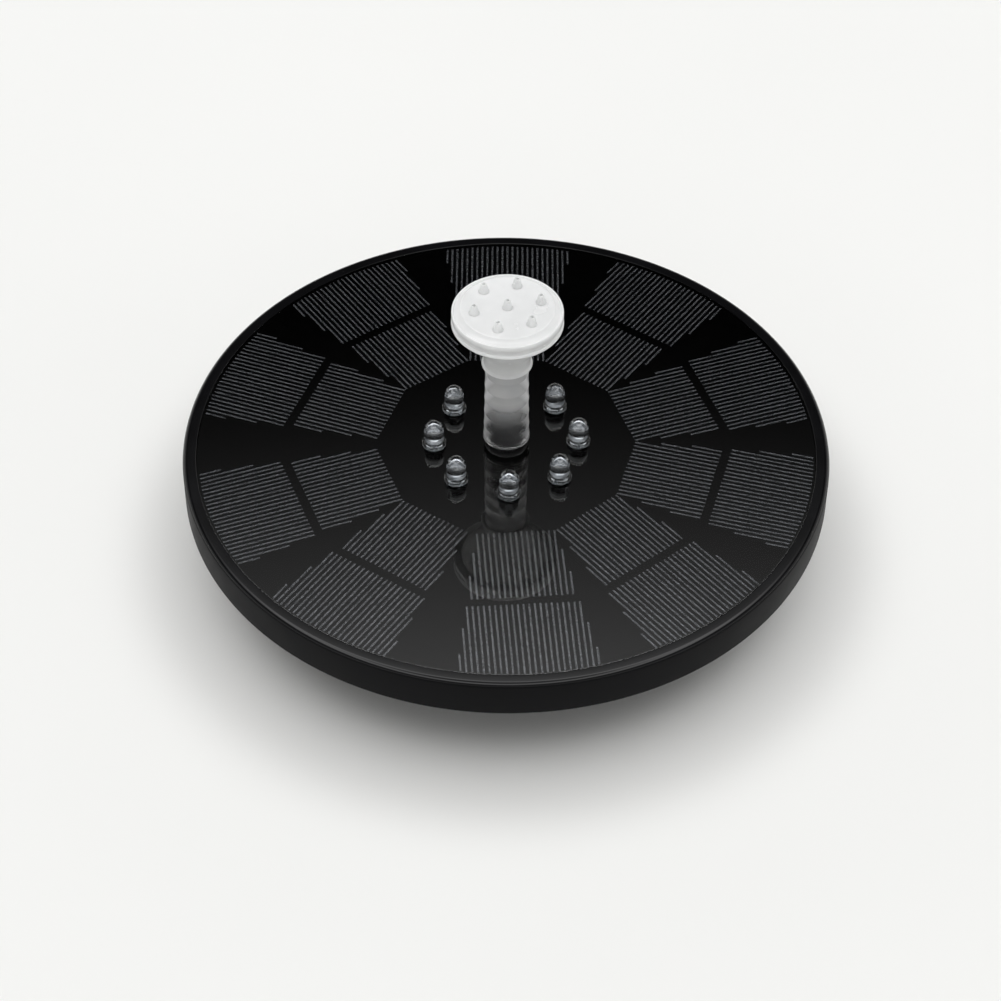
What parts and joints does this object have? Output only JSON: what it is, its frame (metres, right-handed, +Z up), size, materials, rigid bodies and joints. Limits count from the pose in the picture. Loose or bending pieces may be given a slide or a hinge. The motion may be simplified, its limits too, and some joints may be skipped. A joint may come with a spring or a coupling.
{
  "type": "solar fountain pump",
  "caption": "Round floating solar panel with a ring of clear lamps, a submersible pump beneath, and a clear riser tube that carries a white spray head.",
  "frame": {"origin": "centre of the strainer's rest face, the lowest point of the pump, under the disc's centre", "axes": "+Z up along the riser, -Y towards the front of the picture, +X to its right"},
  "size_m": [0.18, 0.18, 0.0897],
  "materials": {
    "shell_black": "satin moulded ABS",
    "pump_black": "satin moulded ABS",
    "panel_black": "matt laminate",
    "solar_cell": "silicon with fine printed lines",
    "clear_glazing": "polished clear resin",
    "lamp_clear": "polished clear epoxy",
    "tinned_steel": "bright",
    "circuit_board": "solder mask",
    "component_black": "matt",
    "switch_grey": "matt",
    "button_rubber": "matt",
    "battery_foil": "satin foil",
    "foam_tape": "matt foam",
    "lead_red": "satin",
    "lead_yellow": "satin",
    "lead_grey": "satin",
    "seal_rubber": "matt",
    "riser_clear": "frosted clear plastic",
    "head_white": "milky translucent plastic",
    "stator_steel": "satin",
    "winding_copper": "lacquered",
    "shaft_steel": "polished",
    "impeller_white": "satin",
    "magnet_grey": "matt",
    "sponge_black": "open foam"
  },
  "bodies": {
    "float": {"upper_case": "shell_black", "lower_case": "shell_black", "case_seal": "seal_rubber", "case_screws": "tinned_steel", "panel_board": "panel_black", "inner_cells": "solar_cell", "outer_cells": "solar_cell", "panel_glazing": "clear_glazing", "lamp_domes": "lamp_clear", "lamp_legs": "tinned_steel", "lamp_board": "circuit_board", "board_screws": "tinned_steel", "battery_pouch": "battery_foil", "battery_pads": "foam_tape", "control_board": "circuit_board", "control_parts": "component_black", "switch_body": "switch_grey", "panel_leads": "lead_red", "battery_leads": "lead_red", "lamp_leads": "lead_yellow", "pump_leads": "lead_grey", "lead_grommet": "seal_rubber", "outlet_pipe": "pump_black", "outlet_seals": "seal_rubber", "pump_housing": "pump_black", "pump_seal": "seal_rubber", "pump_screws": "tinned_steel", "stator_core": "stator_steel", "stator_coils": "winding_copper", "motor_board": "circuit_board", "motor_parts": "component_black", "rotor_shaft": "shaft_steel", "shaft_bushes": "seal_rubber", "volute_cover": "pump_black", "cover_seal": "seal_rubber", "cover_screws": "tinned_steel"},
    "rotor": {"impeller": "impeller_white", "rotor_magnet": "magnet_grey"},
    "riser": {"riser_tube": "riser_clear"},
    "head": {"nozzle_head": "head_white", "spray_cap": "head_white"},
    "strainer": {"strainer_cover": "pump_black", "filter_sponge": "sponge_black"},
    "button": {"power_button": "button_rubber", "switch_plunger": "component_black"}
  },
  "joints": [
    {"name": "rotor_spin", "type": "hinge", "parent": "float", "child": "rotor", "pos_m": [0.01795, 0, 0.012], "axis": [0, 0, 1], "continuous": true},
    {"name": "riser_lift", "type": "slide", "parent": "float", "child": "riser", "axis": [0, 0, 1], "range_m": [0, 0.0125]},
    {"name": "head_lift", "type": "slide", "parent": "riser", "child": "head", "axis": [0, 0, 1], "range_m": [0, 0.008]},
    {"name": "strainer_turn", "type": "hinge", "parent": "float", "child": "strainer", "pos_m": [0, 0, 0.006], "axis": [0, 0, 1], "range_deg": [0, 20]},
    {"name": "button_press", "type": "slide", "parent": "float", "child": "button", "axis": [0, 0, 1], "range_m": [0, 0.0006], "stiffness_N_per_m": 250, "springref_m": -0.0008}
  ]
}
